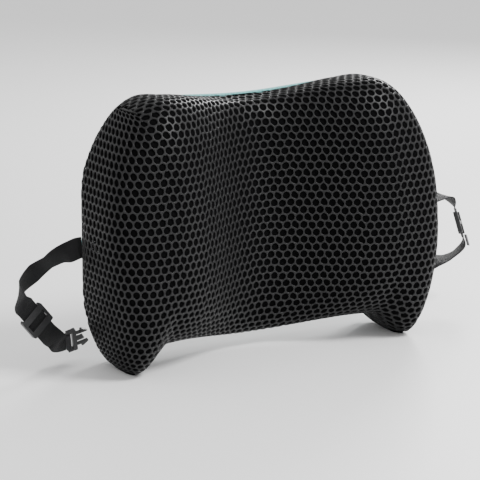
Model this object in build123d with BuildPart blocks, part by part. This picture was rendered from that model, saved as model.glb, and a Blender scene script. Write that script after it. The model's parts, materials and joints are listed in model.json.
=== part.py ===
from build123d import *
import os
from math import cos, pi, sin, sqrt

# Lumbar support cushion. Millimetres, +Z up, the user sits in front at -Y.
# The origin is the middle of the flat back face, which leans on the chair.

# Cushion form
WIDTH = 436.0
HEIGHT = 315.0
BOLSTER_DEPTH = 120.0      # front to back at the two side bolsters, mid height
VALLEY_DEPTH = 50.0        # front to back on the centre line, mid height
DEPTH_TAPER = 0.22         # share by which the cushion is deeper at its foot than at its top
RIDGE_X = 152.0            # each bolster's ridge, from the centre line
TOP_PEAK_X = 136.0         # highest point of each upper lobe
TOP_VALLEY = 19.0          # dip between the upper lobes
FOOT_X = 182.0             # lowest point of each lower lobe
NOTCH_X = 137.0            # inner end of each lower lobe
ARCH_RISE = 29.5           # rise of the notches above the feet
ARCH_SAG = 13.5            # how far the middle of the arch hangs below its notches
SIDE_Z = -10.0             # height of the widest point
PLAN_POWER = 3.7           # squareness of the bolsters seen from above
TOP_POWER = 3.2            # squareness of the upper edge
BOTTOM_POWER = 2.2         # squareness of the lower edge
TOP_CORNER_POWER = 2.0
FOOT_CORNER_POWER = 1.66
ROLL_SHARE = 0.42          # share of the depth at which the outline is widest
SIDE_ROLL = 42.0           # the same at the sides, in millimetres
SEAM_INSET = 13.0          # the rear seam lies this far inside the outline
SEAM_INSET_VALLEY = -1.0   # and this far at the middle of the top
FOOT_PRESS = 2.5           # flattening of the feet under the cushion's own weight

# Covers
COVER_THICK = 3.5          # spacer mesh
LINER_GAP = 0.2
LINER_THICK = 0.8
PANEL_THICK = 2.0          # back panel
LINER_BACK = 5.0           # the liner's back face lies this far in, clear of the zip
PIPING_SIZE = 4.4
PIPING_GAP = 0.1
STRAP_PASSAGE = 2.1        # height left under the welt for the webbing

# Zip across the back panel
ZIP_Z = -96.0
ZIP_LENGTH = 300.0
ZIP_SLIT = 7.0
TAPE_WIDTH = 13.0
TAPE_THICK = 0.7
COIL_WIDTH = 1.9
COIL_GAP = 0.9
COIL_THICK = 1.7
ZIP_CLEAR = 0.1
STOP_LENGTH = 3.0
SLIDER_X = 141.0
SLIDER_LENGTH = 9.0
SLIDER_WIDTH = 9.0
SLIDER_PLATE = 1.1
BRIDGE_RADIUS = 0.7
PULL_EYE = 1.7
PULL_WIDTH = 5.0
PULL_LENGTH = 17.0
PULL_THICK = 1.3

# Care label
LABEL_X = -60.0
LABEL_Z = -62.0
LABEL_WIDTH = 45.0
LABEL_HEIGHT = 28.0

# Straps
STRAP_WIDTH = 25.0
STRAP_THICK = 1.4
STRAP_Z = -20.0
ROUTE_STEPS = 4
ANCHOR_LENGTH = 36.0
ANCHOR_END_X = 207.6
THREAD = 0.6
STITCH_BOX = 18.0
LOOP_OUTER = 3.4           # sewn loop round each buckle bar
LOOP_INNER = 2.0
LOOP_GAP = 0.05
BAR_RADIUS = 1.6

# Three-bar sliders
TRIGLIDE_WIDTH = 33.0
TRIGLIDE_LENGTH = 28.0
TRIGLIDE_THICK = 5.4
TRIGLIDE_RAIL = 3.4
TRIGLIDE_SLOT = 3.0
MIDDLE_BAR = 4.0
BAR_THICK = 1.6
LEFT_OUTWARD = 1           # face of the webbing that the outer bars lie on
RIGHT_OUTWARD = -1
TRAVEL_RIGHT = 2.0
TAIL_LEVEL = 4.0
TAIL_LENGTH = 14.0

# Side-release buckle
BUCKLE_WIDTH = 33.0
BUCKLE_ARM = 3.6
ARM_THICK = 4.4
MALE_BASE_START = 5.0
MALE_BASE = 5.0
MALE_THICK = 5.0
GUIDE_WIDTH = 3.4
GUIDE_LENGTH = 9.0
PRONG_ROOT_X = 9.0
PRONG_WIDTH = 2.4
PRONG_THICK = 3.6
PRONG_LENGTH = 9.0
PRONG_BARB = 4.4
PRONG_GAP = 0.3
FEMALE_LENGTH = 26.0
FEMALE_THICK = 9.0
FEMALE_WALL = 2.5
SOCKET_WIDTH = 28.0
SOCKET_THICK = 5.6
WINDOW_LENGTH = 9.0

HALF_WIDTH = WIDTH / 2
SEAM_X = HALF_WIDTH - SEAM_INSET
HALF_HEIGHT = HEIGHT / 2
FLOOR_Z = -HALF_HEIGHT
SECTION_STEPS = 12
END_STATION = 0.995
STATIONS = 21


def ease(t):
    """Smooth step from 0 to 1."""
    t = min(max(t, 0.0), 1.0)
    return (1 - cos(pi * t)) / 2


def corner(t, power):
    """Rounded corner: 1 at t = 0, falling to 0 at t = 1."""
    return (1 - min(max(t, 0.0), 1.0) ** power) ** (1 / power)


def top_z(x):
    x = abs(x)
    if x < TOP_PEAK_X:
        return HALF_HEIGHT - TOP_VALLEY * (1 - ease(x / TOP_PEAK_X))
    fall = corner((x - TOP_PEAK_X) / (HALF_WIDTH - TOP_PEAK_X), TOP_CORNER_POWER)
    return SIDE_Z + (HALF_HEIGHT - SIDE_Z) * fall


def bottom_z(x):
    x = abs(x)
    lowest = FLOOR_Z - FOOT_PRESS
    if x < FOOT_X:
        rise = ARCH_RISE * (1 - ease((x - NOTCH_X) / (FOOT_X - NOTCH_X)))
        return lowest + rise - ARCH_SAG * (1 - ease(x / NOTCH_X))
    fall = corner((x - FOOT_X) / (HALF_WIDTH - FOOT_X), FOOT_CORNER_POWER)
    return SIDE_Z + (lowest - SIDE_Z) * fall


def plan_depth(x):
    """Depth of the front surface at mid height."""
    x = abs(x)
    if x < RIDGE_X:
        return VALLEY_DEPTH + (BOLSTER_DEPTH - VALLEY_DEPTH) * ease(x / RIDGE_X)
    share = corner((x - RIDGE_X) / (HALF_WIDTH - RIDGE_X), PLAN_POWER)
    return SIDE_ROLL + (BOLSTER_DEPTH - SIDE_ROLL) * share


def rear_depth(x):
    """Depth of the rear surface: flat, then rolling forward at the sides."""
    edge = HALF_WIDTH - SEAM_INSET
    t = (abs(x) - edge) / SEAM_INSET
    return 0.0 if t < 0 else SIDE_ROLL * (1 - sqrt(max(0.0, 1 - t * t)))


def seam_inset(x):
    """How far the rear seam lies below the top outline."""
    return SEAM_INSET_VALLEY + (SEAM_INSET - SEAM_INSET_VALLEY) * ease(abs(x) / TOP_PEAK_X)


def section_points(station, inset, back):
    """One upright slice, as depths and heights from the top of the rear seam round the front."""
    x_outer = station * HALF_WIDTH
    x = station * (HALF_WIDTH - inset)
    top = top_z(x_outer) - inset
    bottom = bottom_z(x_outer) + inset
    middle = (top + bottom) / 2
    half = max((top - bottom) / 2, 2.0)
    rear = max(rear_depth(x_outer), back)
    tall = half / (HALF_HEIGHT - inset)
    inset_top = min(seam_inset(x_outer) * min(1.0, tall + 0.1), half * 0.3)
    inset_bottom = min(SEAM_INSET * min(1.0, tall + 0.1), half * 0.3)

    def depth_at(z, share):
        taper = 1 + DEPTH_TAPER * (0.5 - (z - FLOOR_Z) / HEIGHT)
        front = (plan_depth(x_outer) - inset) * taper
        roll = max(ROLL_SHARE * front, rear + 1.0)
        return roll + (front - roll) * share

    points = [(rear, middle + half - inset_top)]
    points.append((rear + (depth_at(top, 0.0) - rear) * 0.3, middle + half - inset_top * 0.28))
    for step in range(SECTION_STEPS + 1):
        angle = pi / 2 - pi * step / SECTION_STEPS
        power = TOP_POWER if angle > 0 else BOTTOM_POWER
        rise = abs(sin(angle)) ** (2 / power)
        z = middle + half * (rise if angle > 0 else -rise)
        points.append((depth_at(z, max(cos(angle), 0.0) ** (2 / power)), z))
    points.append((rear + (depth_at(bottom, 0.0) - rear) * 0.3, middle - half + inset_bottom * 0.28))
    points.append((rear, middle - half + inset_bottom))
    return x, points


def station_shares():
    """Slice positions across the width, closer together near the sides."""
    return [END_STATION * sin(pi / 2 * (2 * i / (STATIONS - 1) - 1)) for i in range(STATIONS)]


def cushion_form(inset, back):
    """The cushion's outer form, taken in by inset all round, with its back face at depth back."""
    with BuildPart() as form:
        for share in station_shares():
            x, points = section_points(share, inset, back)
            slice_plane = Plane(origin=(x, 0, 0), x_dir=(0, -1, 0), z_dir=(-1, 0, 0))
            with BuildSketch(slice_plane):
                with BuildLine():
                    Spline(*points)
                    Line(points[-1], points[0])
                make_face()
        loft(ruled=True)
        split(bisect_by=Plane.XY.offset(FLOOR_Z), keep=Keep.TOP)
    return form.part


def seam_outline(inset):
    """Points round the rear seam, seen from the back, taken in by inset."""
    points = []
    steps = 40
    edge = HALF_WIDTH - SEAM_INSET - inset
    for i in range(steps + 1):
        x = -edge * cos(pi * i / steps)
        reach = x / edge * HALF_WIDTH * END_STATION
        points.append((x, top_z(reach) - seam_inset(reach) - inset))
    lower = []
    for i in range(1, steps):
        x = edge * cos(pi * i / steps)
        reach = x / edge * HALF_WIDTH * END_STATION
        lower.append((x, bottom_z(reach) + SEAM_INSET + inset))
    return points + lower


# ---- foam, liner and covers ----
os.makedirs("parts", exist_ok=True)
pieces = {}

outer_form = cushion_form(0.0, 0.0)
cover_lining = cushion_form(COVER_THICK, 0.0)
liner_form = cushion_form(COVER_THICK + LINER_GAP, LINER_BACK)
foam_form = cushion_form(COVER_THICK + LINER_GAP + LINER_THICK, LINER_BACK + LINER_THICK)

with BuildPart() as foam_core:
    add(foam_form)
pieces["foam_core"] = foam_core

with BuildPart() as inner_liner:
    add(liner_form)
    add(foam_form, mode=Mode.SUBTRACT)
pieces["inner_liner"] = inner_liner

with BuildPart() as front_cover:
    add(outer_form)
    add(cover_lining, mode=Mode.SUBTRACT)
pieces["front_cover"] = front_cover

with BuildPart() as back_panel:
    add(cover_lining)
    split(bisect_by=Plane.XZ.offset(PANEL_THICK), keep=Keep.BOTTOM)
    with Locations((0, 0, ZIP_Z)):
        Box(ZIP_LENGTH, 4 * PANEL_THICK, ZIP_SLIT, mode=Mode.SUBTRACT)
pieces["back_panel"] = back_panel

# Welt round the rear seam, as a plain ring against the covers' rear edge
with BuildPart() as seam_piping:
    with BuildSketch(Plane.XZ.offset(-PIPING_GAP)):
        with BuildLine():
            Polyline(*seam_outline(-PIPING_SIZE / 2), close=True)
        make_face()
        with BuildLine():
            Polyline(*seam_outline(PIPING_SIZE / 2), close=True)
        make_face(mode=Mode.SUBTRACT)
    extrude(amount=-PIPING_SIZE)
    # the strap webbing runs under the welt on each side
    with Locations((SEAM_X, 0, STRAP_Z), (-SEAM_X, 0, STRAP_Z)):
        Box(20, 2 * STRAP_PASSAGE, STRAP_WIDTH + 1.5, mode=Mode.SUBTRACT)
pieces["seam_piping"] = seam_piping

# ---- zip ----
tape_y = -(PANEL_THICK + ZIP_CLEAR + TAPE_THICK / 2)
tape_inner = COIL_GAP / 2 + COIL_WIDTH
coil_y = -COIL_THICK / 2 - ZIP_CLEAR

for side, name in ((1, "upper"), (-1, "lower")):
    with BuildPart() as zipper_tape:
        with Locations((0, tape_y, ZIP_Z + side * (tape_inner + TAPE_WIDTH / 2))):
            Box(ZIP_LENGTH, TAPE_THICK, TAPE_WIDTH)
    pieces[f"zipper_tape_{name}"] = zipper_tape

    with BuildPart() as zipper_coil:
        with Locations((0, coil_y, ZIP_Z + side * (COIL_GAP + COIL_WIDTH) / 2)):
            Box(ZIP_LENGTH - 2 * STOP_LENGTH, COIL_THICK, COIL_WIDTH)
    pieces[f"zipper_coil_{name}"] = zipper_coil

for side, name in ((-1, "left"), (1, "right")):
    with BuildPart() as zipper_stop:
        with Locations((side * (ZIP_LENGTH - STOP_LENGTH) / 2, coil_y, ZIP_Z)):
            Box(STOP_LENGTH - 0.1, COIL_THICK, 2 * tape_inner)
    pieces[f"zipper_stop_{name}"] = zipper_stop

# Slider: two plates joined by a thin post between the coils, with a bridge for the pull
plate_top_y = ZIP_CLEAR + SLIDER_PLATE / 2
plate_under_y = tape_y - TAPE_THICK / 2 - ZIP_CLEAR - SLIDER_PLATE / 2
bridge_y = plate_top_y + SLIDER_PLATE / 2 + PULL_EYE + 0.2
with BuildPart() as zipper_slider:
    with Locations((SLIDER_X, plate_top_y, ZIP_Z), (SLIDER_X, plate_under_y, ZIP_Z)):
        Box(SLIDER_LENGTH, SLIDER_PLATE, SLIDER_WIDTH)
    with Locations((SLIDER_X, (plate_top_y + plate_under_y) / 2, ZIP_Z)):
        Box(SLIDER_LENGTH / 3, plate_top_y - plate_under_y, COIL_GAP - 0.3)
    for side in (-1, 1):
        with Locations((SLIDER_X + side * (PULL_WIDTH / 2 + 1.0), bridge_y / 2 + 0.5, ZIP_Z)):
            Box(1.2, bridge_y, 2.4)
    with Locations((SLIDER_X, bridge_y, ZIP_Z)):
        Cylinder(BRIDGE_RADIUS, PULL_WIDTH + 3.0, rotation=(0, 90, 0))
pieces["zipper_slider"] = zipper_slider

with BuildPart() as zipper_pull:
    with BuildSketch(Plane.XZ.offset(-bridge_y - PULL_THICK / 2)):
        with Locations((SLIDER_X, ZIP_Z - PULL_LENGTH / 2)):
            RectangleRounded(PULL_WIDTH, PULL_LENGTH, 1.5)
    extrude(amount=PULL_THICK)
    with Locations((SLIDER_X, bridge_y, ZIP_Z)):
        Cylinder(PULL_EYE, PULL_WIDTH, rotation=(0, 90, 0))
        Cylinder(BRIDGE_RADIUS + 0.3, PULL_WIDTH + 2, rotation=(0, 90, 0), mode=Mode.SUBTRACT)
pieces["zipper_pull"] = zipper_pull

# Blank care label sewn beside the zip
with BuildPart() as care_label:
    with Locations((LABEL_X, 0.3, LABEL_Z)):
        Box(LABEL_WIDTH, 0.4, LABEL_HEIGHT)
pieces["care_label"] = care_label

# ---- strap anchors and their box stitches ----
anchor_y = 0.1 + STRAP_THICK / 2
stitch_y = 0.1 + STRAP_THICK + THREAD / 2
for side, name in ((-1, "left"), (1, "right")):
    anchor_x = side * (ANCHOR_END_X - ANCHOR_LENGTH / 2)
    with BuildPart() as strap_anchor:
        with Locations((anchor_x, anchor_y, STRAP_Z)):
            Box(ANCHOR_LENGTH, STRAP_THICK, STRAP_WIDTH)
    pieces[f"{name}_strap_anchor"] = strap_anchor

    with BuildPart() as box_stitch:
        with BuildSketch(Plane.XZ.offset(-(stitch_y - THREAD / 2))):
            with Locations((anchor_x, STRAP_Z)):
                Rectangle(STITCH_BOX, STITCH_BOX)
                Rectangle(STITCH_BOX - 2 * THREAD, STITCH_BOX - 2 * THREAD, mode=Mode.SUBTRACT)
                Rectangle(STITCH_BOX * sqrt(2) - 2 * THREAD, THREAD, rotation=45)
                Rectangle(STITCH_BOX * sqrt(2) - 2 * THREAD, THREAD, rotation=-45)
        extrude(amount=-THREAD)
    pieces[f"{name}_box_stitch"] = box_stitch

# ---- straps ----
# Each row is a point on the webbing's middle line and the direction across the webbing there.
# Between the two rows marked straight the webbing is flat, and the slider travels on it.
LEFT_ROUTE = [
    ((-208.6, 0.9, -20.0), (0.0, 0.0, -1.0)),
    ((-213.0, 1.2, -20.4), (0.0, 0.0, -1.0)),
    ((-222.6, 8.0, -25.9), (0.23, -0.04, -0.97)),
    ((-230.9, 15.7, -30.3), (0.71, 0.13, -0.69)),
    ((-242.1, 20.8, -38.0), (0.71, 0.41, -0.57)),
    ((-258.5, 24.8, -49.5), (0.63, 0.19, -0.75)),
    ((-278.7, 17.4, -62.8), (0.42, 0.56, -0.71)),
    ((-285.9, 2.2, -73.9), (-0.23, 0.82, -0.53)),
    ((-281.5, -2.0, -81.0), (-0.75, -0.12, -0.65)),       # straight from here
    ((-252.0, 4.0, -116.0), (-0.75, -0.12, -0.65)),       # to here
    ((-239.2, 7.3, -127.8), (-0.49, 0.44, -0.75)),
    ((-231.0, 15.0, -135.0), (-0.1, 0.5, -0.85)),
    ((-224.5, 14.8, -133.8), (0.2, 0.45, -0.86)),
]
LEFT_STRAIGHT = 8
RIGHT_ROUTE = [
    ((208.6, 0.9, -20.0), (0.0, 0.0, -1.0)),
    ((215.0, 1.1, -20.0), (0.0, 0.0, -1.0)),
    ((236.6, 5.2, -17.6), (0.08, -0.49, -0.87)),
    ((285.9, 23.4, -17.8), (0.2, -0.86, -0.47)),
    ((313.0, 30.0, -23.3), (0.35, -0.94, -0.02)),
    ((322.8, 25.8, -39.2), (-0.62, -0.74, 0.25)),         # straight from here
    ((325.7, 12.2, -72.6), (-0.62, -0.74, 0.25)),         # to here
    ((320.3, 9.0, -85.6), (-0.01, -0.93, 0.36)),
    ((301.9, 8.6, -94.4), (-0.09, -0.99, 0.07)),
    ((283.5, 10.1, -97.6), (-0.1, -0.92, -0.37)),
    ((261.8, 17.0, -103.5), (0.0, -0.5, -0.87)),
    ((248.5, 17.0, -103.5), (0.0, -0.1, -0.99)),
    ((238.5, 17.0, -103.5), (0.0, 0.0, -1.0)),
]
RIGHT_STRAIGHT = 5


def heading(spots, straight, i):
    """Direction of the webbing at one row."""
    before, after = spots[max(i - 1, 0)], spots[min(i + 1, len(spots) - 1)]
    if i in (straight, straight + 1):
        before, after = spots[straight], spots[straight + 1]
    return (after - before).normalized()


def between(start, end, leaving, arriving, t):
    """Point on a smooth curve from start to end."""
    reach = (end - start).length
    curve = start * (2 * t ** 3 - 3 * t ** 2 + 1) + end * (3 * t ** 2 - 2 * t ** 3)
    return curve + (leaving * (t ** 3 - 2 * t ** 2 + t) + arriving * (t ** 3 - t ** 2)) * reach


def route_planes(route, straight):
    """Cross planes along the webbing, x across it and z along it, and the straight run's place."""
    spots = [Vector(*centre) for centre, across in route]
    widths = [Vector(*across) for centre, across in route]
    centres = []
    acrosses = []
    for i in range(len(route) - 1):
        steps = 1 if i == straight else ROUTE_STEPS
        if i == straight:
            first = len(centres)
        leaving, arriving = heading(spots, straight, i), heading(spots, straight, i + 1)
        for step in range(steps):
            t = step / steps
            centres.append(between(spots[i], spots[i + 1], leaving, arriving, t))
            acrosses.append(widths[i] * (1 - t) + widths[i + 1] * t)
    centres.append(spots[-1])
    acrosses.append(widths[-1])
    planes = []
    for i, across in enumerate(acrosses):
        along = heading(centres, first, i)
        across = (across - along * across.dot(along)).normalized()
        planes.append(Plane(origin=centres[i], x_dir=across, z_dir=along))
    return planes, first


def flat_plane(cross_plane, shift):
    """Plane of the webbing itself, shifted along it: x across, y along, z out of its face."""
    across, along = cross_plane.x_dir, cross_plane.z_dir
    return Plane(origin=cross_plane.origin + along * shift, x_dir=across, z_dir=across.cross(along))


def webbing(planes):
    """Ribbon through the cross planes."""
    half_w, half_t = STRAP_WIDTH / 2, STRAP_THICK / 2
    corners = [(-half_w, -half_t), (half_w, -half_t), (half_w, half_t), (-half_w, half_t)]
    rings = [[p.from_local_coords(Vector(x, y, 0)) for x, y in corners] for p in planes]
    faces = [Face(Wire.make_polygon(rings[0])), Face(Wire.make_polygon(rings[-1]))]
    for near, far in zip(rings, rings[1:]):
        for i in range(4):
            j = (i + 1) % 4
            faces.append(Face(Wire.make_polygon([near[i], near[j], far[j]])))
            faces.append(Face(Wire.make_polygon([near[i], far[j], far[i]])))
    with BuildPart() as ribbon:
        add(Solid(Shell(faces)))
    return ribbon


def sewn_loop(plane):
    """Loop of webbing sewn to the ribbon's end, round a buckle bar."""
    side_plane = Plane(origin=plane.origin, x_dir=plane.y_dir, z_dir=plane.x_dir)
    with BuildPart() as loop:
        with BuildSketch(side_plane):
            Circle(LOOP_OUTER)
            Circle(LOOP_INNER, mode=Mode.SUBTRACT)
        extrude(amount=STRAP_WIDTH / 2, both=True)
    return loop


left_planes, left_first = route_planes(LEFT_ROUTE, LEFT_STRAIGHT)
right_planes, right_first = route_planes(RIGHT_ROUTE, RIGHT_STRAIGHT)
pieces["left_strap"] = webbing(left_planes)
pieces["right_strap"] = webbing(right_planes)


def straight_middle(planes, straight):
    length = (planes[straight + 1].origin - planes[straight].origin).length
    return flat_plane(planes[straight], length / 2)


def slider_frame(plane, outward):
    """Three-bar slider: the webbing lies under the two outer bars and over the middle one."""
    with BuildPart() as frame:
        with BuildSketch(plane.offset(-TRIGLIDE_THICK / 2)):
            RectangleRounded(TRIGLIDE_WIDTH, TRIGLIDE_LENGTH, 2.5)
            Rectangle(TRIGLIDE_WIDTH - 2 * TRIGLIDE_RAIL, TRIGLIDE_LENGTH + 2, mode=Mode.SUBTRACT)
        extrude(amount=TRIGLIDE_THICK)
        bar_level = outward * (TRIGLIDE_THICK - BAR_THICK) / 2
        outer_bar = (TRIGLIDE_LENGTH - MIDDLE_BAR) / 2 - TRIGLIDE_SLOT
        for end in (-1, 1):
            with BuildSketch(plane.offset(bar_level - BAR_THICK / 2)):
                with Locations((0, end * (TRIGLIDE_LENGTH - outer_bar) / 2)):
                    RectangleRounded(TRIGLIDE_WIDTH, outer_bar, 2.4)
            extrude(amount=BAR_THICK)
        with BuildSketch(plane.offset(-bar_level - BAR_THICK / 2)):
            Rectangle(TRIGLIDE_WIDTH - TRIGLIDE_RAIL, MIDDLE_BAR)
        extrude(amount=BAR_THICK)
    return frame


left_slider_plane = straight_middle(left_planes, left_first)
right_slider_plane = straight_middle(right_planes, right_first)
pieces["left_triglide"] = slider_frame(left_slider_plane, LEFT_OUTWARD)
pieces["right_triglide"] = slider_frame(right_slider_plane, RIGHT_OUTWARD)

# Free end of the right webbing, hanging beside the slider
with BuildPart() as right_strap_tail:
    with BuildSketch(right_slider_plane.offset(TAIL_LEVEL - STRAP_THICK / 2)):
        with Locations((0, TRIGLIDE_LENGTH / 2 + TRAVEL_RIGHT + TAIL_LENGTH / 2 + 0.5)):
            Rectangle(STRAP_WIDTH, TAIL_LENGTH)
    extrude(amount=STRAP_THICK)
pieces["right_strap_tail"] = right_strap_tail

# ---- buckle halves ----
male_plane = flat_plane(left_planes[-1], LOOP_OUTER + LOOP_GAP)
female_plane = flat_plane(right_planes[-1], LOOP_OUTER + LOOP_GAP)
pieces["left_strap_loop"] = sewn_loop(male_plane)
pieces["right_strap_loop"] = sewn_loop(female_plane)


def bar_with_arms(plane, reach):
    """Bar through the webbing loop, with an arm at each end running forward by reach."""
    side_plane = Plane(origin=plane.origin, x_dir=plane.y_dir, z_dir=plane.x_dir)
    with BuildPart() as bar:
        with BuildSketch(side_plane):
            Circle(BAR_RADIUS)
        extrude(amount=BUCKLE_WIDTH / 2 - 1.0, both=True)
        with BuildSketch(plane.offset(-ARM_THICK / 2)):
            for end in (-1, 1):
                with Locations((end * (BUCKLE_WIDTH - BUCKLE_ARM) / 2, reach / 2 - 0.9)):
                    RectangleRounded(BUCKLE_ARM, reach + 1.8, 1.1)
        extrude(amount=ARM_THICK)
    return bar.part


with BuildPart() as male_buckle:
    add(bar_with_arms(male_plane, MALE_BASE_START + 1.0))
    with BuildSketch(male_plane.offset(-MALE_THICK / 2)):
        with Locations((0, MALE_BASE_START + MALE_BASE / 2)):
            RectangleRounded(BUCKLE_WIDTH, MALE_BASE, 1.6)
        with Locations((0, MALE_BASE_START + MALE_BASE + GUIDE_LENGTH / 2 - 0.5)):
            RectangleRounded(GUIDE_WIDTH, GUIDE_LENGTH + 1.0, 1.2)
    extrude(amount=MALE_THICK)
pieces["male_buckle"] = male_buckle

prong_root_y = MALE_BASE_START + MALE_BASE + PRONG_GAP + PRONG_WIDTH / 2
for side, name in ((1, "lower"), (-1, "upper")):
    with BuildPart() as prong:
        with BuildSketch(male_plane.offset(-PRONG_THICK / 2)):
            root_x = side * PRONG_ROOT_X
            with Locations((root_x, prong_root_y)):
                Circle(PRONG_WIDTH / 2)
            with Locations((root_x, prong_root_y + PRONG_LENGTH / 2)):
                Rectangle(PRONG_WIDTH, PRONG_LENGTH)
            barb = [
                (root_x - side * PRONG_WIDTH / 2, prong_root_y + PRONG_LENGTH + 3.5),
                (root_x - side * PRONG_WIDTH / 2, prong_root_y + PRONG_LENGTH - 5.0),
                (root_x + side * PRONG_BARB, prong_root_y + PRONG_LENGTH - 5.0),
                (root_x + side * PRONG_BARB, prong_root_y + PRONG_LENGTH - 2.5),
                (root_x + side * 0.4, prong_root_y + PRONG_LENGTH + 3.5),
            ]
            with BuildLine():
                Polyline(*barb, close=True)
            make_face()
        extrude(amount=PRONG_THICK)
    pieces[f"male_prong_{name}"] = prong

with BuildPart() as female_buckle:
    add(bar_with_arms(female_plane, MALE_BASE_START + 1.0))
    shell_middle = MALE_BASE_START + FEMALE_LENGTH / 2
    with BuildSketch(female_plane.offset(-FEMALE_THICK / 2)):
        with Locations((0, shell_middle)):
            RectangleRounded(BUCKLE_WIDTH, FEMALE_LENGTH, 2.0)
    extrude(amount=FEMALE_THICK)
    # socket, open at the far end
    with BuildSketch(female_plane.offset(-SOCKET_THICK / 2)):
        with Locations((0, shell_middle + FEMALE_WALL)):
            Rectangle(SOCKET_WIDTH, FEMALE_LENGTH)
    extrude(amount=SOCKET_THICK, mode=Mode.SUBTRACT)
    # side windows that the barbs snap into
    with BuildSketch(female_plane.offset(-SOCKET_THICK / 2)):
        with Locations((0, shell_middle + 1.0)):
            Rectangle(BUCKLE_WIDTH + 2, WINDOW_LENGTH)
    extrude(amount=SOCKET_THICK, mode=Mode.SUBTRACT)
pieces["female_buckle"] = female_buckle


def spot(vector):
    return [round(v / 1000, 5) for v in (vector.X, vector.Y, vector.Z)]


def direction(vector):
    return [round(v, 5) for v in (vector.X, vector.Y, vector.Z)]


for name, piece in pieces.items():
    piece.part.label = name
    export_step(piece.part, f"parts/{name}.step")

# Joint places, in metres, and directions
print("zip bridge", [SLIDER_X / 1000, bridge_y / 1000, ZIP_Z / 1000])
for name, plane in (("left slider", left_slider_plane), ("right slider", right_slider_plane)):
    print(name, spot(plane.origin), "along", direction(plane.y_dir), "face", direction(plane.z_dir))
for name, plane in (("male", male_plane), ("female", female_plane)):
    print(name, spot(plane.origin), "bar", direction(plane.x_dir), "forward", direction(plane.y_dir),
          "face", direction(plane.z_dir))
for side, name in ((1, "lower"), (-1, "upper")):
    root = male_plane.from_local_coords(Vector(side * PRONG_ROOT_X, prong_root_y, 0))
    print(f"prong {name}", spot(root))
for name, piece in pieces.items():
    print(name, round(piece.part.volume), len(piece.part.solids()))
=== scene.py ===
import json
import math

import bpy
import numpy as np
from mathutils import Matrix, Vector


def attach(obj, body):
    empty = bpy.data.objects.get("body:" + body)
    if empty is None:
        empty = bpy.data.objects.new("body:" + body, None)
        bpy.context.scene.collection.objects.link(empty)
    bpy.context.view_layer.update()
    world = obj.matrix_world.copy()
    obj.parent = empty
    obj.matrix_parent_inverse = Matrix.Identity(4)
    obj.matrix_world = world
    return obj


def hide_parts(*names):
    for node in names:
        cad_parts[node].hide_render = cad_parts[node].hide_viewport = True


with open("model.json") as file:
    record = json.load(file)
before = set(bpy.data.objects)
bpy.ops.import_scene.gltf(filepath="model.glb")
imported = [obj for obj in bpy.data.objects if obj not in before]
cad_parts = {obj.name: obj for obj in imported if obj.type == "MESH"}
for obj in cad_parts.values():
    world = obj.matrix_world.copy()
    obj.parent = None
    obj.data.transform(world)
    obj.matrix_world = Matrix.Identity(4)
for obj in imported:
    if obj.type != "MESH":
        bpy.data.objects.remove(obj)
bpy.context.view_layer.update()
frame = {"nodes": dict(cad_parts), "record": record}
MM = 0.001                  # lengths below are in millimetres unless they say otherwise

# ---- camera, in metres ----
TARGET = Vector((0, -0.05, -0.0075))
AZIMUTH, ELEVATION = math.radians(-30), math.radians(12.97)
DISTANCE = 2.912
cam_data = bpy.data.cameras.new("camera")
cam = bpy.data.objects.new("camera", cam_data)
bpy.context.scene.collection.objects.link(cam)
bpy.context.scene.camera = cam
back = Vector((math.sin(AZIMUTH) * math.cos(ELEVATION), -math.cos(AZIMUTH) * math.cos(ELEVATION),
               math.sin(ELEVATION)))
cam.location = TARGET + back * DISTANCE
cam.rotation_mode = "QUATERNION"
cam.rotation_quaternion = (-back).to_track_quat("-Z", "Y")
cam_data.lens = 187.8
cam_data.shift_x = -0.0467
cam_data.shift_y = -0.0317
cam_data.clip_end = 60

# ---- cushion form, the same as the CAD's ----
HALF_WIDTH = 218.0
HEIGHT = 315.0
HALF_HEIGHT = HEIGHT / 2
FLOOR_Z = -HALF_HEIGHT
BOLSTER_DEPTH = 120.0      # front to back at the side bolsters, mid height
VALLEY_DEPTH = 50.0        # front to back on the centre line
DEPTH_TAPER = 0.22         # share by which the cushion is deeper at its foot than at its top
RIDGE_X = 152.0            # each bolster's ridge
TOP_PEAK_X = 136.0         # highest point of each upper lobe
TOP_VALLEY = 19.0          # dip between the upper lobes
FOOT_X = 182.0             # lowest point of each lower lobe
NOTCH_X = 137.0            # inner end of each lower lobe
ARCH_RISE = 29.5           # rise of the notches above the feet
ARCH_SAG = 13.5            # how far the middle of the arch hangs below its notches
SIDE_Z = -10.0             # height of the widest point
PLAN_POWER = 3.7           # squareness of the bolsters seen from above
TOP_POWER = 3.2            # squareness of the upper edge
BOTTOM_POWER = 2.2         # squareness of the lower edge
TOP_CORNER_POWER = 2.0
FOOT_CORNER_POWER = 1.66
ROLL_SHARE = 0.42          # share of the depth at which the outline is widest
SIDE_ROLL = 42.0           # the same at the sides, in millimetres
SEAM_INSET = 13.0          # the rear seam lies this far inside the outline
SEAM_INSET_VALLEY = -1.0   # and this far at the middle of the top
FOOT_PRESS = 2.5           # flattening of the feet under the cushion's own weight
FLOOR_GAP = 0.05           # the cover stays this far above the floor
EDGE_STEPS, FRONT_STEPS = 12, 96


def ease(t):
    """Smooth step from 0 to 1."""
    t = min(max(t, 0.0), 1.0)
    return (1 - math.cos(math.pi * t)) / 2


def corner(t, power):
    """Rounded corner: 1 at t = 0, falling to 0 at t = 1."""
    return (1 - min(max(t, 0.0), 1.0) ** power) ** (1 / power)


def top_z(x):
    x = abs(x)
    if x < TOP_PEAK_X:
        return HALF_HEIGHT - TOP_VALLEY * (1 - ease(x / TOP_PEAK_X))
    return SIDE_Z + (HALF_HEIGHT - SIDE_Z) * corner(
        (x - TOP_PEAK_X) / (HALF_WIDTH - TOP_PEAK_X), TOP_CORNER_POWER)


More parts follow.
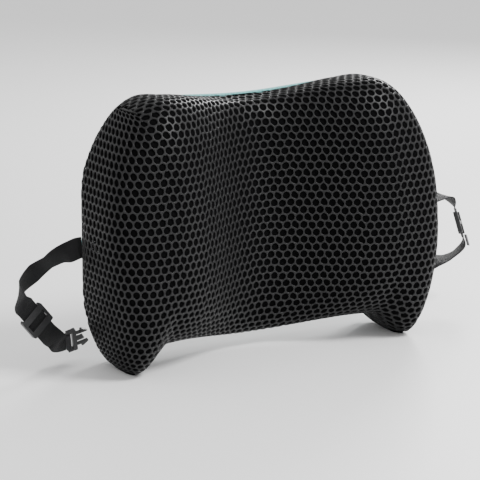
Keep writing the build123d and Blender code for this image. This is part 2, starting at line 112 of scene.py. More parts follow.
def bottom_z(x):
    x = abs(x)
    lowest = FLOOR_Z - FOOT_PRESS
    if x < FOOT_X:
        rise = ARCH_RISE * (1 - ease((x - NOTCH_X) / (FOOT_X - NOTCH_X)))
        return lowest + rise - ARCH_SAG * (1 - ease(x / NOTCH_X))
    return SIDE_Z + (lowest - SIDE_Z) * corner(
        (x - FOOT_X) / (HALF_WIDTH - FOOT_X), FOOT_CORNER_POWER)


def plan_depth(x):
    x = abs(x)
    if x < RIDGE_X:
        return VALLEY_DEPTH + (BOLSTER_DEPTH - VALLEY_DEPTH) * ease(x / RIDGE_X)
    return SIDE_ROLL + (BOLSTER_DEPTH - SIDE_ROLL) * corner(
        (x - RIDGE_X) / (HALF_WIDTH - RIDGE_X), PLAN_POWER)


def rear_depth(x):
    t = (abs(x) - HALF_WIDTH + SEAM_INSET) / SEAM_INSET
    return 0.0 if t < 0 else SIDE_ROLL * (1 - math.sqrt(max(0.0, 1 - t * t)))


def seam_inset(x):
    return SEAM_INSET_VALLEY + (SEAM_INSET - SEAM_INSET_VALLEY) * ease(abs(x) / TOP_PEAK_X)


def front_depth(x, z):
    return plan_depth(x) * (1 + DEPTH_TAPER * (0.5 - (z - FLOOR_Z) / HEIGHT))


def roll_depth(x, z):
    """Depth at which the outline is widest."""
    return max(ROLL_SHARE * front_depth(x, z), rear_depth(x) + 1)


def edge_inset(inset, half):
    """The rear seam's inset on a slice of this half height, less on the short slices at the sides."""
    return min(inset * min(1.0, half / HALF_HEIGHT + 0.1), half * 0.3)


def section(x):
    """One upright slice from the rear seam's top, round the front, to its bottom, in depth and height."""
    top, bottom = top_z(x), bottom_z(x)
    middle, half = (top + bottom) / 2, max((top - bottom) / 2, 0.5)
    rear = rear_depth(x)

    def edge(i, z, side, inset):
        """Quarter turn from the rear seam out to the edge at height z."""
        turn = math.pi / 2 * i / EDGE_STEPS
        depth = rear + (roll_depth(x, z) - rear) * (1 - math.cos(turn))
        return depth, middle + side * (half - edge_inset(inset, half) * (1 - math.sin(turn)))

    points = [edge(i, top, 1, seam_inset(x)) for i in range(EDGE_STEPS)]
    for i in range(FRONT_STEPS + 1):
        turn = math.pi / 2 - math.pi * i / FRONT_STEPS
        power = TOP_POWER if turn > 0 else BOTTOM_POWER
        z = middle + half * math.copysign(abs(math.sin(turn)) ** (2 / power), turn)
        roll = roll_depth(x, z)
        points.append((roll + (front_depth(x, z) - roll) * max(math.cos(turn), 0.0) ** (2 / power), z))
    points += [edge(i, bottom, -1, SEAM_INSET) for i in range(EDGE_STEPS - 1, -1, -1)]
    return np.array(points)


def resample(points, count):
    """The line through the points as count points at even steps, and its length."""
    steps = np.linalg.norm(np.diff(points, axis=0), axis=1)
    arc = np.concatenate([[0], np.cumsum(steps)])
    at = np.linspace(0, arc[-1], count)
    return np.stack([np.interp(at, arc, points[:, k]) for k in range(points.shape[1])], 1), arc[-1]


# Grid of the cover: one upright slice for each of ACROSS places, and AROUND points on each slice
ACROSS, AROUND = 241, 161
grid = np.zeros((ACROSS, AROUND, 3))
lengths = np.zeros(ACROSS)
middles = np.zeros(ACROSS)
for i in range(ACROSS):
    x = HALF_WIDTH * 0.9995 * math.sin(math.pi / 2 * (2 * i / (ACROSS - 1) - 1))
    points, lengths[i] = resample(section(x), AROUND)
    grid[i, :, 0] = x
    grid[i, :, 1] = -points[:, 0]
    grid[i, :, 2] = np.maximum(points[:, 1], FLOOR_Z)
    upper = np.nonzero(points[:, 1] > SIDE_Z)[0]
    front = upper[-1] if len(upper) else AROUND // 2
    middles[i] = front / (AROUND - 1) * lengths[i]


def grid_normals(field, first, second):
    """Unit normals of a grid of points, from its steps along two of its axes."""
    across = np.cross(np.gradient(field, axis=first), np.gradient(field, axis=second))
    return across / np.maximum(np.linalg.norm(across, axis=2, keepdims=True), 1e-9)


def sample(field, u, v):
    """Value of a grid field at fractional places u, v."""
    u = np.clip(u, 0, field.shape[0] - 1.0001)
    v = np.clip(v, 0, field.shape[1] - 1.0001)
    i, j = u.astype(int), v.astype(int)
    a, b = (u - i)[:, None], (v - j)[:, None]
    top = field[i, j] * (1 - b) + field[i, j + 1] * b
    low = field[i + 1, j] * (1 - b) + field[i + 1, j + 1] * b
    return top * (1 - a) + low * a


def make_mesh(name, verts, faces, smooth=True):
    mesh = bpy.data.meshes.new(name)
    corners = [tuple(int(k) for k in face) for face in faces]
    mesh.from_pydata([tuple(v) for v in np.asarray(verts, float)], [], corners)
    mesh.validate()
    if smooth:
        mesh.polygons.foreach_set("use_smooth", [True] * len(mesh.polygons))
    mesh.update()
    obj = bpy.data.objects.new(name, mesh)
    bpy.context.scene.collection.objects.link(obj)
    return obj


# ---- padding: the cover swells between its seams ----
TRIAL_ACROSS, TRIAL_AROUND = 81, 57
PRESSURE = 4
LAST_FRAME = 20
SWELL_LIMIT = 2.5
SIDE_X = 170.0             # the net follows upright slices up to here, and runs level round the sides past it
SIDE_FADE = 30.0           # the swell dies out over this width before SIDE_X


def strip_faces(across, around):
    """Quads of a grid with this many points each way."""
    corners = [i * around + j for i in range(across - 1) for j in range(around - 1)]
    return [(k, k + 1, k + around + 1, k + around) for k in corners]


def padded_offsets():
    """Outward movement of the cover under its filling's pressure, on a coarse copy of the grid."""
    cu, cv = TRIAL_ACROSS, TRIAL_AROUND
    uu, vv = np.meshgrid(np.linspace(0, ACROSS - 1, cu), np.linspace(0, AROUND - 1, cv), indexing="ij")
    rest = sample(grid, uu.ravel(), vv.ravel()) * MM
    cloth_obj = make_mesh("padding_trial", rest, strip_faces(cu, cv))
    group = cloth_obj.vertex_groups.new(name="held")
    held = [i * cv + j for i in range(cu) for j in range(cv) if j in (0, cv - 1) or i in (0, cu - 1)]
    group.add(held, 1.0, "REPLACE")
    cloth = cloth_obj.modifiers.new("cloth", "CLOTH").settings
    cloth.quality = 6
    cloth.mass = 0.3
    cloth.tension_stiffness = 40
    cloth.compression_stiffness = 40
    cloth.shear_stiffness = 20
    cloth.bending_stiffness = 4
    cloth.use_pressure = True
    cloth.uniform_pressure_force = PRESSURE
    cloth.vertex_group_mass = "held"
    cloth.effector_weights.gravity = 0
    scene = bpy.context.scene
    for number in range(1, LAST_FRAME + 1):
        scene.frame_set(number)
    graph = bpy.context.evaluated_depsgraph_get()
    result = cloth_obj.evaluated_get(graph).data
    co = np.zeros(len(result.vertices) * 3)
    result.vertices.foreach_get("co", co)
    scene.frame_set(1)
    bpy.data.objects.remove(cloth_obj)
    move = (co.reshape(-1, 3) - rest) / MM
    size = np.linalg.norm(move, axis=1, keepdims=True)
    print("padding moved by up to", float(size.max()), "mm")
    print("share of it past the limit", float((size > SWELL_LIMIT).mean()))
    move *= np.minimum(1.0, SWELL_LIMIT / np.maximum(size, 1e-6))
    return move.reshape(cu, cv, 3)


offsets = padded_offsets()
uu, vv = np.meshgrid(np.linspace(0, TRIAL_ACROSS - 1, ACROSS), np.linspace(0, TRIAL_AROUND - 1, AROUND),
                     indexing="ij")
shift = sample(offsets, uu.ravel(), vv.ravel()).reshape(ACROSS, AROUND, 3)
share = np.clip((SIDE_X - np.abs(grid[:, :, :1])) / SIDE_FADE, 0, 1)
grid = grid + shift * share
grid[:, :, 2] = np.maximum(grid[:, :, 2], FLOOR_Z)
grid[:, :, 1] = np.minimum(grid[:, :, 1], 0.0)
normals = grid_normals(grid, 0, 1)
if normals[ACROSS // 2, AROUND // 2, 1] > 0:
    normals = -normals


def surface(u, v, lift):
    """Points standing lift proud of the cover at grid places u, v, in metres."""
    points = sample(grid, u, v) + sample(normals, u, v) * np.reshape(lift, (-1, 1))
    points[:, 2] = np.maximum(points[:, 2], FLOOR_Z + FLOOR_GAP)
    return points * MM


# Spacer layer under the net, closed round the sides to the rear seam
BASE_DROP = 1.7            # depth of the spacer under the net's crest
REST_BAND = 0.3            # what is this near the floor rests on it
uu, vv = np.meshgrid(np.arange(ACROSS), np.arange(AROUND), indexing="ij")
verts = surface(uu.ravel().astype(float), vv.ravel().astype(float), np.full(uu.size, -BASE_DROP))
resting = grid.reshape(-1, 3)[:, 2] < FLOOR_Z + REST_BAND
verts[resting, 2] = (FLOOR_Z + FLOOR_GAP) * MM
faces = strip_faces(ACROSS, AROUND)
for i in range(ACROSS - 1):
    if abs(grid[i, 0, 0]) > HALF_WIDTH - SEAM_INSET - 2:
        k = i * AROUND
        faces.append((k + AROUND - 1, k, k + AROUND, k + 2 * AROUND - 1))
spacer = make_mesh("front_spacer", verts, faces)


def inner_form(name, drop, rear):
    """Closed form that follows the cover at a distance inside it."""
    uu, vv = np.meshgrid(np.arange(2, ACROSS - 2, 4), np.arange(0, AROUND, 4), indexing="ij")
    pts = surface(uu.ravel().astype(float), vv.ravel().astype(float), np.full(uu.size, -drop))
    pts[:, 1] = np.minimum(pts[:, 1], -rear * MM)
    pts[:, 0] *= (HALF_WIDTH - drop) / HALF_WIDTH
    pts[:, 2] = np.maximum(pts[:, 2], (FLOOR_Z + drop) * MM)
    m = uu.shape[1]
    faces = [tuple(range(m)), tuple((uu.shape[0] - 1) * m + k for k in range(m - 1, -1, -1))]
    for i in range(uu.shape[0] - 1):
        for j in range(m):
            a, b = i * m + j, i * m + (j + 1) % m
            faces.append((a, b, b + m, a + m))
    return make_mesh(name, pts, faces)


liner = inner_form("liner_form", 4.4, 5.2)
foam = inner_form("foam_form", 6.0, 6.2)

# ---- hexagonal net ----
PITCH, ROW = 9.7, 8.8      # across and up, from one cell to the next
NET_ROWS = 36              # rows above and below the mid-height line, more than the cover holds
SPARE_COLUMNS = 12
NET_DEPTH = 1.6            # the walls of the cells go down to the spacer
plan = np.array([grid[i, int(round(middles[i] / lengths[i] * (AROUND - 1))), :2] for i in range(ACROSS)])
plan_arc = np.concatenate([[0], np.cumsum(np.linalg.norm(np.diff(plan, axis=0), axis=1))])
plan_arc -= plan_arc[ACROSS // 2]
index = np.arange(ACROSS, dtype=float)


def to_grid(a, b):
    """Grid places of points a across and b up from the mid-height line, in mm along the cloth."""
    u = np.interp(a, plan_arc, index)
    total = np.interp(u, index, lengths)
    mid = np.interp(u, index, middles)
    return u, (mid - b) / total * (AROUND - 1)


hexagon = [(0, 2 / 3), (0.25, 0.5), (0.5, 1 / 3), (0.5, 0), (0.5, -1 / 3), (0.25, -0.5),
           (0, -2 / 3), (-0.25, -0.5), (-0.5, -1 / 3), (-0.5, 0), (-0.5, 1 / 3), (-0.25, 0.5)]
CORNERS = len(hexagon)
corner_scale = np.array([0.73, 0.83] * (CORNERS // 2))
outline = np.array(hexagon) * (PITCH, ROW)
# Scale of the cell's outline and height over the cover, from the yarn's crest down to the spacer
rings = [(np.ones(CORNERS), 0.0), (corner_scale + 0.1, 0.1), (corner_scale, -0.25),
         (corner_scale * 0.97, -NET_DEPTH)]
half_columns = int(plan_arc[-1] / PITCH) + SPARE_COLUMNS

# Past SIDE_X the net runs level round the side and onto the rear roll, instead of along upright slices
LEVELS, SIDE_STEPS, SIDE_POINTS = 181, 160, 120
side_a = float(np.interp(SIDE_X, plan[:, 0], plan_arc))
levels = np.linspace(FLOOR_Z + 0.1, HALF_HEIGHT - 1.0, LEVELS)


def half_section(x, z):
    """Depths of the front and the rear surface at one place, or None outside the outline."""
    top, bottom = top_z(x), bottom_z(x)
    middle, half = (top + bottom) / 2, (top - bottom) / 2
    reach = (z - middle) / max(half, 1e-6)
    if abs(reach) >= 1:
        return None
    front, rear, roll = front_depth(x, z), rear_depth(x), roll_depth(x, z)
    power = TOP_POWER if reach > 0 else BOTTOM_POWER
    ahead = roll + (front - roll) * (1 - abs(reach) ** power) ** (1 / power)
    inset = edge_inset(seam_inset(x) if reach > 0 else SEAM_INSET, half)
    over = 1 - (half - abs(z - middle)) / max(inset, 1e-6)
    behind = rear if over <= 0 else rear + (roll - rear) * (1 - math.sqrt(max(0.0, 1 - over**2)))
    return ahead, behind


def level_path(z):
    """From SIDE_X outwards along the front at one height, round the widest line and back to the seam."""
    out, home = [], []
    lo, hi = SIDE_X, HALF_WIDTH * 0.9999
    if half_section(lo, z) is None:
        return None
    for _ in range(40):
        mid = (lo + hi) / 2
        lo, hi = (mid, hi) if half_section(mid, z) else (lo, mid)
    for k in range(SIDE_STEPS + 1):
        x = SIDE_X + (lo - SIDE_X) * math.sin(math.pi / 2 * k / SIDE_STEPS)
        ahead, behind = half_section(x, z)
        out.append((x, -ahead, z))
        if behind > 0.05:
            home.append((x, -behind, z))
    return resample(np.array(out + home[::-1]), SIDE_POINTS)


side_paths = [level_path(z) for z in levels]
known = [i for i, p in enumerate(side_paths) if p is not None]
side_low, side_high = known[0], known[-1]
side_points = np.stack([side_paths[i][0] for i in range(side_low, side_high + 1)])
side_lengths = np.array([side_paths[i][1] for i in range(side_low, side_high + 1)])
side_normals = grid_normals(side_points, 1, 0)
if side_normals[len(side_points) // 2, SIDE_POINTS // 2, 0] < 0:
    side_normals = -side_normals


def place(a, b, lift):
    """Points of the net, a across and b up, lift proud of the cover, and whether each is on it."""
    a, b, lift = (np.asarray(k, float) for k in (a, b, lift))
    inner = np.clip(a, -side_a, side_a)
    u, v = to_grid(inner, b)
    on = (v > 0) & (v < AROUND - 1)
    points = surface(u, v, lift)
    beyond = np.abs(a) > side_a
    if beyond.any():
        start = sample(grid, u, v)
        above = (start[:, 2] - levels[side_low]) / (levels[1] - levels[0])
        rise = np.clip(above, 0, len(side_points) - 1.001)
        length = np.interp(rise, np.arange(len(side_lengths)), side_lengths)
        along = (np.abs(a) - side_a) / length * (SIDE_POINTS - 1)
        over = sample(side_points, rise, along) + sample(side_normals, rise, along) * lift.reshape(-1, 1)
        over[:, 0] *= np.sign(a)
        over[:, 2] = np.maximum(over[:, 2], FLOOR_Z + FLOOR_GAP)
        points[beyond] = over[beyond] * MM
        edge = int(np.interp(side_a, plan_arc, index))
        crest, base = np.argmax(grid[edge, :, 2]), AROUND - 1 - np.argmin(grid[edge, ::-1, 2])
        on_slice = (v > crest - 2) & (v < base + 1)
        on &= ~beyond | ((along < SIDE_POINTS - 1) & on_slice & (start[:, 2] > levels[side_low]))
    return points, on


cells = np.array([((column + row % 2 / 2) * PITCH, row * ROW) for row in range(-NET_ROWS, NET_ROWS + 1)
                  for column in range(-half_columns, half_columns + 1)])
cells = cells[place(cells[:, 0], cells[:, 1], np.zeros(len(cells)))[1]]


def net_piece(name, centres):
    """Rims of the net's cells, each a ring of walls round its hole."""
    verts, faces = [], []
    for scale, lift in rings:
        spots = centres[:, None, :] + outline[None, :, :] * scale[None, :, None]
        across, up = spots[:, :, 0].ravel(), spots[:, :, 1].ravel()
        verts.append(place(across, up, np.full(across.size, lift))[0])
    block = len(centres) * CORNERS
    for ring in range(len(rings) - 1):
        for cell in range(len(centres)):
            for k in range(CORNERS):
                a = ring * block + cell * CORNERS + k
                b = ring * block + cell * CORNERS + (k + 1) % CORNERS
                faces.append((a, b, b + block, a + block))
    return make_mesh(name, np.concatenate(verts), faces)


net_left = net_piece("front_net_left", cells[cells[:, 0] <= 0])
net_right = net_piece("front_net_right", cells[cells[:, 0] > 0])


# ---- rear welt ----
WELT_RADIUS = 2.15
WELT_DEPTH = 2.3           # its middle stands this far behind the back face
STRAP_Z = -20.0
STRAP_BUMP = 2.0           # the welt rises this much where it crosses a strap
BUMP_REACH = 22.0
BUMP_X = 190.0             # only the sides have a strap under the welt


def seam_line(steps):
    """The rear seam, in x and z, along the top from left to right and back along the bottom."""
    upper, lower = [], []
    edge = HALF_WIDTH - SEAM_INSET
    for i in range(steps + 1):
        x = -edge * math.cos(math.pi * i / steps)
        reach = x / edge * HALF_WIDTH * 0.995
        upper.append((x, top_z(reach) - seam_inset(reach)))
    for i in range(1, steps):
        x = edge * math.cos(math.pi * i / steps)
        reach = x / edge * HALF_WIDTH * 0.995
        lower.append((x, bottom_z(reach) + SEAM_INSET))
    return np.array(upper + lower)


def smooth_loop(points, rounds):
    for _ in range(rounds):
        points = (np.roll(points, 1, 0) + 2 * points + np.roll(points, -1, 0)) / 4
    return points


def tube(name, path, radius, sides=12):
    """Closed ring of round section along a path."""
    n = len(path)
    along = np.roll(path, -1, 0) - np.roll(path, 1, 0)
    along /= np.linalg.norm(along, axis=1, keepdims=True)
    side = np.cross(along, (0, 1, 0))
    side /= np.maximum(np.linalg.norm(side, axis=1, keepdims=True), 1e-9)
    up = np.cross(side, along)
    angles = np.linspace(0, 2 * math.pi, sides, endpoint=False)
    verts = (path[:, None] + side[:, None] * np.cos(angles)[None, :, None] * radius
             + up[:, None] * np.sin(angles)[None, :, None] * radius)
    faces = []
    for i in range(n):
        for k in range(sides):
            a, b = i * sides + k, i * sides + (k + 1) % sides
            c, d = ((i + 1) % n) * sides + (k + 1) % sides, ((i + 1) % n) * sides + k
            faces.append((a, b, c, d))
    return make_mesh(name, verts.reshape(-1, 3) * MM, faces)


closed_line = np.vstack([seam_line(200), seam_line(200)[:1]])
line, _ = resample(closed_line, 701)
line = smooth_loop(line[:-1], 6)
over_strap = (np.abs(line[:, 1] - STRAP_Z) < BUMP_REACH) & (np.abs(line[:, 0]) > BUMP_X)
bump = 0.5 + 0.5 * np.cos(np.clip((line[:, 1] - STRAP_Z) / BUMP_REACH, -1, 1) * math.pi)
path = np.stack([line[:, 0], WELT_DEPTH + STRAP_BUMP * np.where(over_strap, bump, 0.0), line[:, 1]], 1)
welt = tube("rear_welt", path, WELT_RADIUS)

# ---- straps ----
STRAP_WIDTH, STRAP_THICK = 25.0, 1.4
ROUTE_STEPS = 8
LEFT_STRAIGHT, RIGHT_STRAIGHT = 8, 5   # the route's point that starts the flat run through the slider
# Each point holds the centre of the webbing and the direction of its width there
LEFT_ROUTE = [
    ((-208.6, 0.9, -20.0), (0.0, 0.0, -1.0)), ((-213.0, 1.2, -20.4), (0.0, 0.0, -1.0)),
    ((-222.6, 8.0, -25.9), (0.23, -0.04, -0.97)), ((-230.9, 15.7, -30.3), (0.71, 0.13, -0.69)),
    ((-242.1, 20.8, -38.0), (0.71, 0.41, -0.57)), ((-258.5, 24.8, -49.5), (0.63, 0.19, -0.75)),
    ((-278.7, 17.4, -62.8), (0.42, 0.56, -0.71)), ((-285.9, 2.2, -73.9), (-0.23, 0.82, -0.53)),
    ((-281.5, -2.0, -81.0), (-0.75, -0.12, -0.65)), ((-252.0, 4.0, -116.0), (-0.75, -0.12, -0.65)),
    ((-239.2, 7.3, -127.8), (-0.49, 0.44, -0.75)), ((-231.0, 15.0, -135.0), (-0.1, 0.5, -0.85)),
    ((-224.5, 14.8, -133.8), (0.2, 0.45, -0.86)),
]
RIGHT_ROUTE = [
    ((208.6, 0.9, -20.0), (0.0, 0.0, -1.0)), ((215.0, 1.1, -20.0), (0.0, 0.0, -1.0)),
    ((236.6, 5.2, -17.6), (0.08, -0.49, -0.87)),
    ((285.9, 23.4, -17.8), (0.2, -0.86, -0.47)), ((313.0, 30.0, -23.3), (0.35, -0.94, -0.02)),
    ((322.8, 25.8, -39.2), (-0.62, -0.74, 0.25)), ((325.7, 12.2, -72.6), (-0.62, -0.74, 0.25)),
    ((320.3, 9.0, -85.6), (-0.01, -0.93, 0.36)), ((301.9, 8.6, -94.4), (-0.09, -0.99, 0.07)),
    ((283.5, 10.1, -97.6), (-0.1, -0.92, -0.37)), ((261.8, 17.0, -103.5), (0.0, -0.5, -0.87)),
    ((248.5, 17.0, -103.5), (0.0, -0.1, -0.99)), ((238.5, 17.0, -103.5), (0.0, 0.0, -1.0)),
]


def unit(v):
    return v / max(np.linalg.norm(v), 1e-9)


def heading(spots, straight, i):
    """Direction of the route at a point, along the flat run at both of its ends."""
    a, b = spots[max(i - 1, 0)], spots[min(i + 1, len(spots) - 1)]
    if i in (straight, straight + 1):
        a, b = spots[straight], spots[straight + 1]
    return unit(b - a)


def ribbon(name, route, straight):
    """Flat webbing along a route, with its own texture coordinates across and along it."""
    spots = [np.array(c, float) for c, w in route]
    widths = [np.array(w, float) for c, w in route]
    centres, acrosses = [], []
    for i in range(len(route) - 1):
        if i == straight:
            first = len(centres)
        n = 1 if i == straight else ROUTE_STEPS
        reach = np.linalg.norm(spots[i + 1] - spots[i])
        leaving, arriving = heading(spots, straight, i), heading(spots, straight, i + 1)
        for k in range(n):
            t = k / n
            centres.append(spots[i] * (2 * t**3 - 3 * t**2 + 1) + spots[i + 1] * (3 * t**2 - 2 * t**3)
                           + (leaving * (t**3 - 2 * t**2 + t) + arriving * (t**3 - t**2)) * reach)
            acrosses.append(widths[i] * (1 - t) + widths[i + 1] * t)
    centres.append(spots[-1])
    acrosses.append(widths[-1])
    profile = [(-0.5, 0.0), (-0.49, 0.42), (-0.45, 0.5), (-0.15, 0.5), (0.15, 0.5), (0.45, 0.5),
               (0.49, 0.42), (0.5, 0.0), (0.49, -0.42), (0.45, -0.5), (0.15, -0.5), (-0.15, -0.5),
               (-0.45, -0.5), (-0.49, -0.42)]
    m = len(profile)
    verts, run, total = [], [], 0.0
    for i, across in enumerate(acrosses):
        along = heading(centres, first, i)
        across = unit(across - along * across.dot(along))
        face = np.cross(across, along)
        if i:
            total += np.linalg.norm(centres[i] - centres[i - 1])
        run.append(total)
        verts += [centres[i] + across * a * STRAP_WIDTH + face * b * STRAP_THICK for a, b in profile]
    faces = [tuple(range(m - 1, -1, -1)), tuple((len(centres) - 1) * m + k for k in range(m))]
    for i in range(len(centres) - 1):
        for k in range(m):
            a, b = i * m + k, i * m + (k + 1) % m
            faces.append((a, b, b + m, a + m))
    obj = make_mesh(name, np.array(verts) * MM, faces)
    uv = obj.data.uv_layers.new(name="UVMap")
    for loop in obj.data.loops:
        i, k = divmod(loop.vertex_index, m)
        uv.data[loop.index].uv = (profile[k][0] * STRAP_WIDTH * MM, run[i] * MM)
    return obj


left_ribbon = ribbon("left_webbing_ribbon", LEFT_ROUTE, LEFT_STRAIGHT)
right_ribbon = ribbon("right_webbing_ribbon", RIGHT_ROUTE, RIGHT_STRAIGHT)


# ---- zip teeth and seam stitches ----
def bars(name, centres, half_sizes, sides=8):
    """Small round-ended bars lying along Z or X."""
    verts, faces = [], []
    for cx, cy, cz in centres:
        start = len(verts)
        for end, shrink in ((-1, 0.6), (-0.8, 1.0), (0.8, 1.0), (1, 0.6)):
            for k in range(sides):
                a = 2 * math.pi * k / sides
                p, q = math.cos(a) * shrink, math.sin(a) * shrink
                across, up = (p, end) if half_sizes[2] >= half_sizes[0] else (end, p)
                verts.append((cx + across * half_sizes[0], cy + q * half_sizes[1], cz + up * half_sizes[2]))
        for ring in range(3):
            for k in range(sides):
                a, b = start + ring * sides + k, start + ring * sides + (k + 1) % sides
                faces.append((a, b, b + sides, a + sides))
        faces.append(tuple(start + k for k in range(sides - 1, -1, -1)))
        faces.append(tuple(start + 3 * sides + k for k in range(sides)))
    return make_mesh(name, np.array(verts) * MM, faces)


ZIP_Z = -96.0
TOOTH_REACH, TOOTH_PITCH = 146.0, 1.6
TOOTH_Y, TOOTH_Z = -0.95, 1.4
TOOTH_HALF = (0.55, 0.85, 0.95)
STITCH_REACH, STITCH_PITCH, STITCH_Z = 148.0, 3.4, 6.5
tooth_x = np.arange(-TOOTH_REACH, TOOTH_REACH + 0.1, TOOTH_PITCH)
upper_row = [(x, TOOTH_Y, ZIP_Z + TOOTH_Z) for x in tooth_x]
lower_row = [(x + TOOTH_PITCH / 2, TOOTH_Y, ZIP_Z - TOOTH_Z) for x in tooth_x]
upper_teeth = bars("upper_teeth", upper_row, TOOTH_HALF)
lower_teeth = bars("lower_teeth", lower_row, TOOTH_HALF)
stitch_x = np.arange(-STITCH_REACH, STITCH_REACH + 0.1, STITCH_PITCH)
stitches = [(x, 0.1, ZIP_Z + side * STITCH_Z) for x in stitch_x for side in (-1, 1)]
zip_stitches = bars("zip_stitches", stitches, (1.2, 0.28, 0.28))


# ---- materials ----
def fabric(name, color, rough, sheen, bump, scale, use_uv=False, kind="weave", bump_size=0.0004, gloss=0.25):
    """Cloth or other fine grain: mottled colour with a woven or grainy relief of the given scale."""
    material = bpy.data.materials.new(name)
    material.use_nodes = True
    nodes, links = material.node_tree.nodes, material.node_tree.links
    shader = nodes["Principled BSDF"]
    shader.inputs["Roughness"].default_value = rough
    shader.inputs["Sheen Weight"].default_value = sheen
    shader.inputs["Sheen Roughness"].default_value = 0.5
    shader.inputs["Specular IOR Level"].default_value = gloss
    where = nodes.new("ShaderNodeTexCoord")
    out = where.outputs["UV" if use_uv else "Object"]
    noise = nodes.new("ShaderNodeTexNoise")
    noise.inputs["Scale"].default_value = scale * 0.25
    noise.inputs["Detail"].default_value = 4
    links.new(out, noise.inputs["Vector"])
    ramp = nodes.new("ShaderNodeValToRGB")
    ramp.color_ramp.elements[0].position = 0.3
    ramp.color_ramp.elements[1].position = 0.7
    ramp.color_ramp.elements[0].color = (*[c * 0.72 for c in color], 1)
    ramp.color_ramp.elements[1].color = (*[min(1, c * 1.25) for c in color], 1)
    links.new(noise.outputs["Fac"], ramp.inputs["Fac"])
    links.new(ramp.outputs["Color"], shader.inputs["Base Color"])
    height = noise.outputs["Fac"]
    if kind == "weave":
        first, second = nodes.new("ShaderNodeTexWave"), nodes.new("ShaderNodeTexWave")
        first.bands_direction, second.bands_direction = "X", ("Y" if use_uv else "Z")
        for wave in (first, second):
            wave.inputs["Scale"].default_value = scale * 0.35
            wave.inputs["Distortion"].default_value = 0.4
            links.new(out, wave.inputs["Vector"])
        mix = nodes.new("ShaderNodeMath")
        mix.operation = "ADD"
        links.new(first.outputs["Fac"], mix.inputs[0])
        links.new(second.outputs["Fac"], mix.inputs[1])
        height = mix.outputs[0]
    relief = nodes.new("ShaderNodeBump")
    relief.inputs["Strength"].default_value = bump
    relief.inputs["Distance"].default_value = bump_size
    links.new(height, relief.inputs["Height"])
    links.new(relief.outputs["Normal"], shader.inputs["Normal"])
    return material


def solid(name, color, rough, metal=0.0, coat=0.0):
    """Moulded plastic or enamel with a very fine grain."""
    material = fabric(name, color, rough, 0.0, 0.1, 1500.0, kind="grain", bump_size=0.0001)
    shader = material.node_tree.nodes["Principled BSDF"]
    shader.inputs["Metallic"].default_value = metal
    shader.inputs["Specular IOR Level"].default_value = 0.5
    shader.inputs["Coat Weight"].default_value = coat
    return material


net_look = fabric("net_yarn", (0.007, 0.007, 0.0075), 0.45, 0.0, 0.35, 2600.0, kind="grain",
                  bump_size=0.0003, gloss=0.3)
spacer_look = fabric("spacer_yarn", (0.002, 0.002, 0.0022), 0.95, 0.0, 0.6, 2200.0, kind="grain",
                     bump_size=0.0004, gloss=0.05)
panel_look = fabric("back_cloth", (0.012, 0.012, 0.013), 0.9, 0.08, 0.5, 1600.0)
welt_look = fabric("welt_cloth", (0.2, 0.5, 0.5), 0.7, 0.2, 0.3, 2000.0)
webbing_look = fabric("webbing_yarn", (0.01, 0.01, 0.011), 0.55, 0.03, 0.7, 2400.0, use_uv=True)
tape_look = fabric("tape_yarn", (0.02, 0.02, 0.022), 0.85, 0.1, 0.4, 2600.0)
thread_look = fabric("thread", (0.03, 0.03, 0.032), 0.6, 0.2, 0.2, 3000.0, kind="grain")
label_look = fabric("label_satin", (0.72, 0.72, 0.7), 0.45, 0.2, 0.2, 2600.0)
liner_look = fabric("liner_knit", (0.7, 0.7, 0.68), 0.9, 0.1, 0.3, 1500.0)
foam_look = fabric("foam", (0.8, 0.74, 0.55), 0.95, 0.0, 0.6, 900.0, kind="grain")
plastic_look = solid("buckle_plastic", (0.018, 0.018, 0.019), 0.38)
coil_look = solid("coil_nylon", (0.02, 0.02, 0.02), 0.35)
metal_look = solid("slider_enamel", (0.02, 0.02, 0.021), 0.28, 0.3, 0.4)


def dress(obj, material):
    obj.data.materials.clear()
    obj.data.materials.append(material)


looks = {"foam": foam_look, "liner": liner_look, "mesh": net_look, "back_fabric": panel_look,
         "piping": welt_look, "zip_tape": tape_look, "zip_coil": coil_look, "zip_metal": metal_look,
         "label": label_look, "thread": thread_look, "webbing": tape_look, "buckle_plastic": plastic_look}
for entry in frame["record"]["subparts"]:
    dress(frame["nodes"][entry["node"]], looks[entry["material_slot"]])

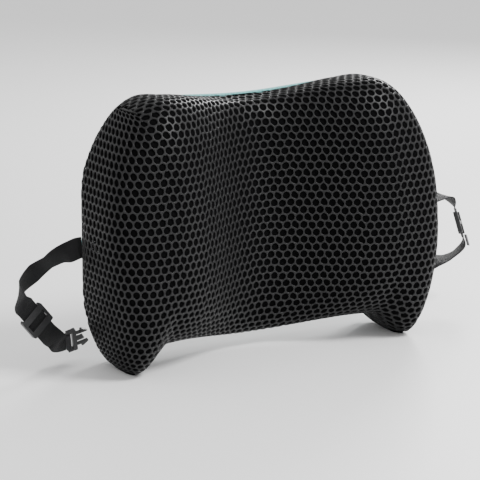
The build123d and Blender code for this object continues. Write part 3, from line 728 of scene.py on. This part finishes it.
for obj, look, body, slot_name, stands_for in (
    (spacer, spacer_look, "cushion", "mesh", ("front_cover",)),
    (net_left, net_look, "cushion", "mesh", ()),
    (net_right, net_look, "cushion", "mesh", ()),
    (liner, liner_look, "cushion", "liner", ("inner_liner",)),
    (foam, foam_look, "cushion", "foam", ("foam_core",)),
    (welt, welt_look, "cushion", "piping", ("seam_piping",)),
    (left_ribbon, webbing_look, "left_webbing", "webbing", ("left_strap",)),
    (right_ribbon, webbing_look, "right_webbing", "webbing", ("right_strap",)),
    (upper_teeth, coil_look, "cushion", "zip_coil", ("zipper_coil_upper",)),
    (lower_teeth, coil_look, "cushion", "zip_coil", ("zipper_coil_lower",)),
    (zip_stitches, thread_look, "cushion", "thread", ()),
):
    dress(obj, look)
    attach(obj, body)
    if stands_for:
        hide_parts(*stands_for)

# ---- floor and light ----
FLOOR_HALF = 6             # metres
floor_signs = ((-1, -1), (1, -1), (1, 1), (-1, 1))
floor_corners = [(x * FLOOR_HALF, y * FLOOR_HALF, FLOOR_Z * MM) for x, y in floor_signs]
floor = make_mesh("floor", floor_corners, [(0, 1, 2, 3)], smooth=False)
floor_look = bpy.data.materials.new("floor")
floor_look.use_nodes = True
floor_shader = floor_look.node_tree.nodes["Principled BSDF"]
floor_shader.inputs["Base Color"].default_value = (0.97, 0.97, 0.97, 1)
floor_shader.inputs["Roughness"].default_value = 0.5
dress(floor, floor_look)

world = bpy.data.worlds.new("world")
bpy.context.scene.world = world
world.use_nodes = True
sky = world.node_tree.nodes["Background"]
sky.inputs["Color"].default_value = (1, 1, 1, 1)
sky.inputs["Strength"].default_value = 0.95


def area_light(name, spot, aim, size, power):
    """Square lamp at a spot, pointing at aim, in metres and watts."""
    data = bpy.data.lights.new(name, "AREA")
    data.size = size
    data.energy = power
    obj = bpy.data.objects.new(name, data)
    bpy.context.scene.collection.objects.link(obj)
    obj.location = spot
    obj.rotation_mode = "QUATERNION"
    obj.rotation_quaternion = (Vector(aim) - Vector(spot)).to_track_quat("-Z", "Y")


area_light("key", (0.9, -1.4, 1.9), (0, -0.05, 0), 0.7, 75)
area_light("fill", (-1.8, -1.2, 0.7), (0, -0.05, 0), 1.2, 4)
area_light("rim", (1.4, 1.2, 0.9), (0.1, 0, 0), 0.6, 30)
